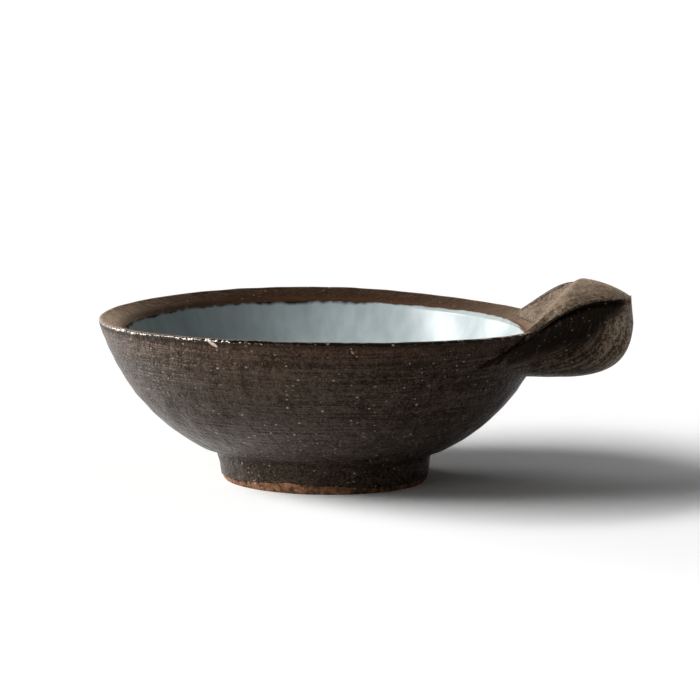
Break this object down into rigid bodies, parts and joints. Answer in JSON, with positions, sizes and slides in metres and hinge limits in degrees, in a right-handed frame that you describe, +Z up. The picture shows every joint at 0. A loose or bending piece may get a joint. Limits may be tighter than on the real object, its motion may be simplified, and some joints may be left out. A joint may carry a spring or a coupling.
{
  "type": "handled dipping bowl",
  "caption": "Round stoneware bowl on a turned foot ring, with a folded lug handle at its rim, brown glaze outside and pale glaze inside, for holding dipping broth.",
  "frame": {"origin": "middle of the whole object's footprint, on the table that its foot ring stands on", "axes": "+X along the lug handle, away from the bowl; +Z up, along the bowl's turning axis"},
  "size_m": [0.1532, 0.13, 0.0589],
  "materials": {
    "stoneware": "bare fired clay",
    "slip": "bare fired slip",
    "pale_glaze": "gloss",
    "brown_glaze": "satin"
  },
  "bodies": {
    "root": {"thrown_bowl": "stoneware", "foot_ring": "stoneware", "lug_handle": "stoneware", "foot_luting_slip": "slip", "lug_luting_slip": "slip", "liner_glaze": "pale_glaze", "body_glaze": "brown_glaze", "lug_glaze": "brown_glaze"}
  },
  "joints": []
}
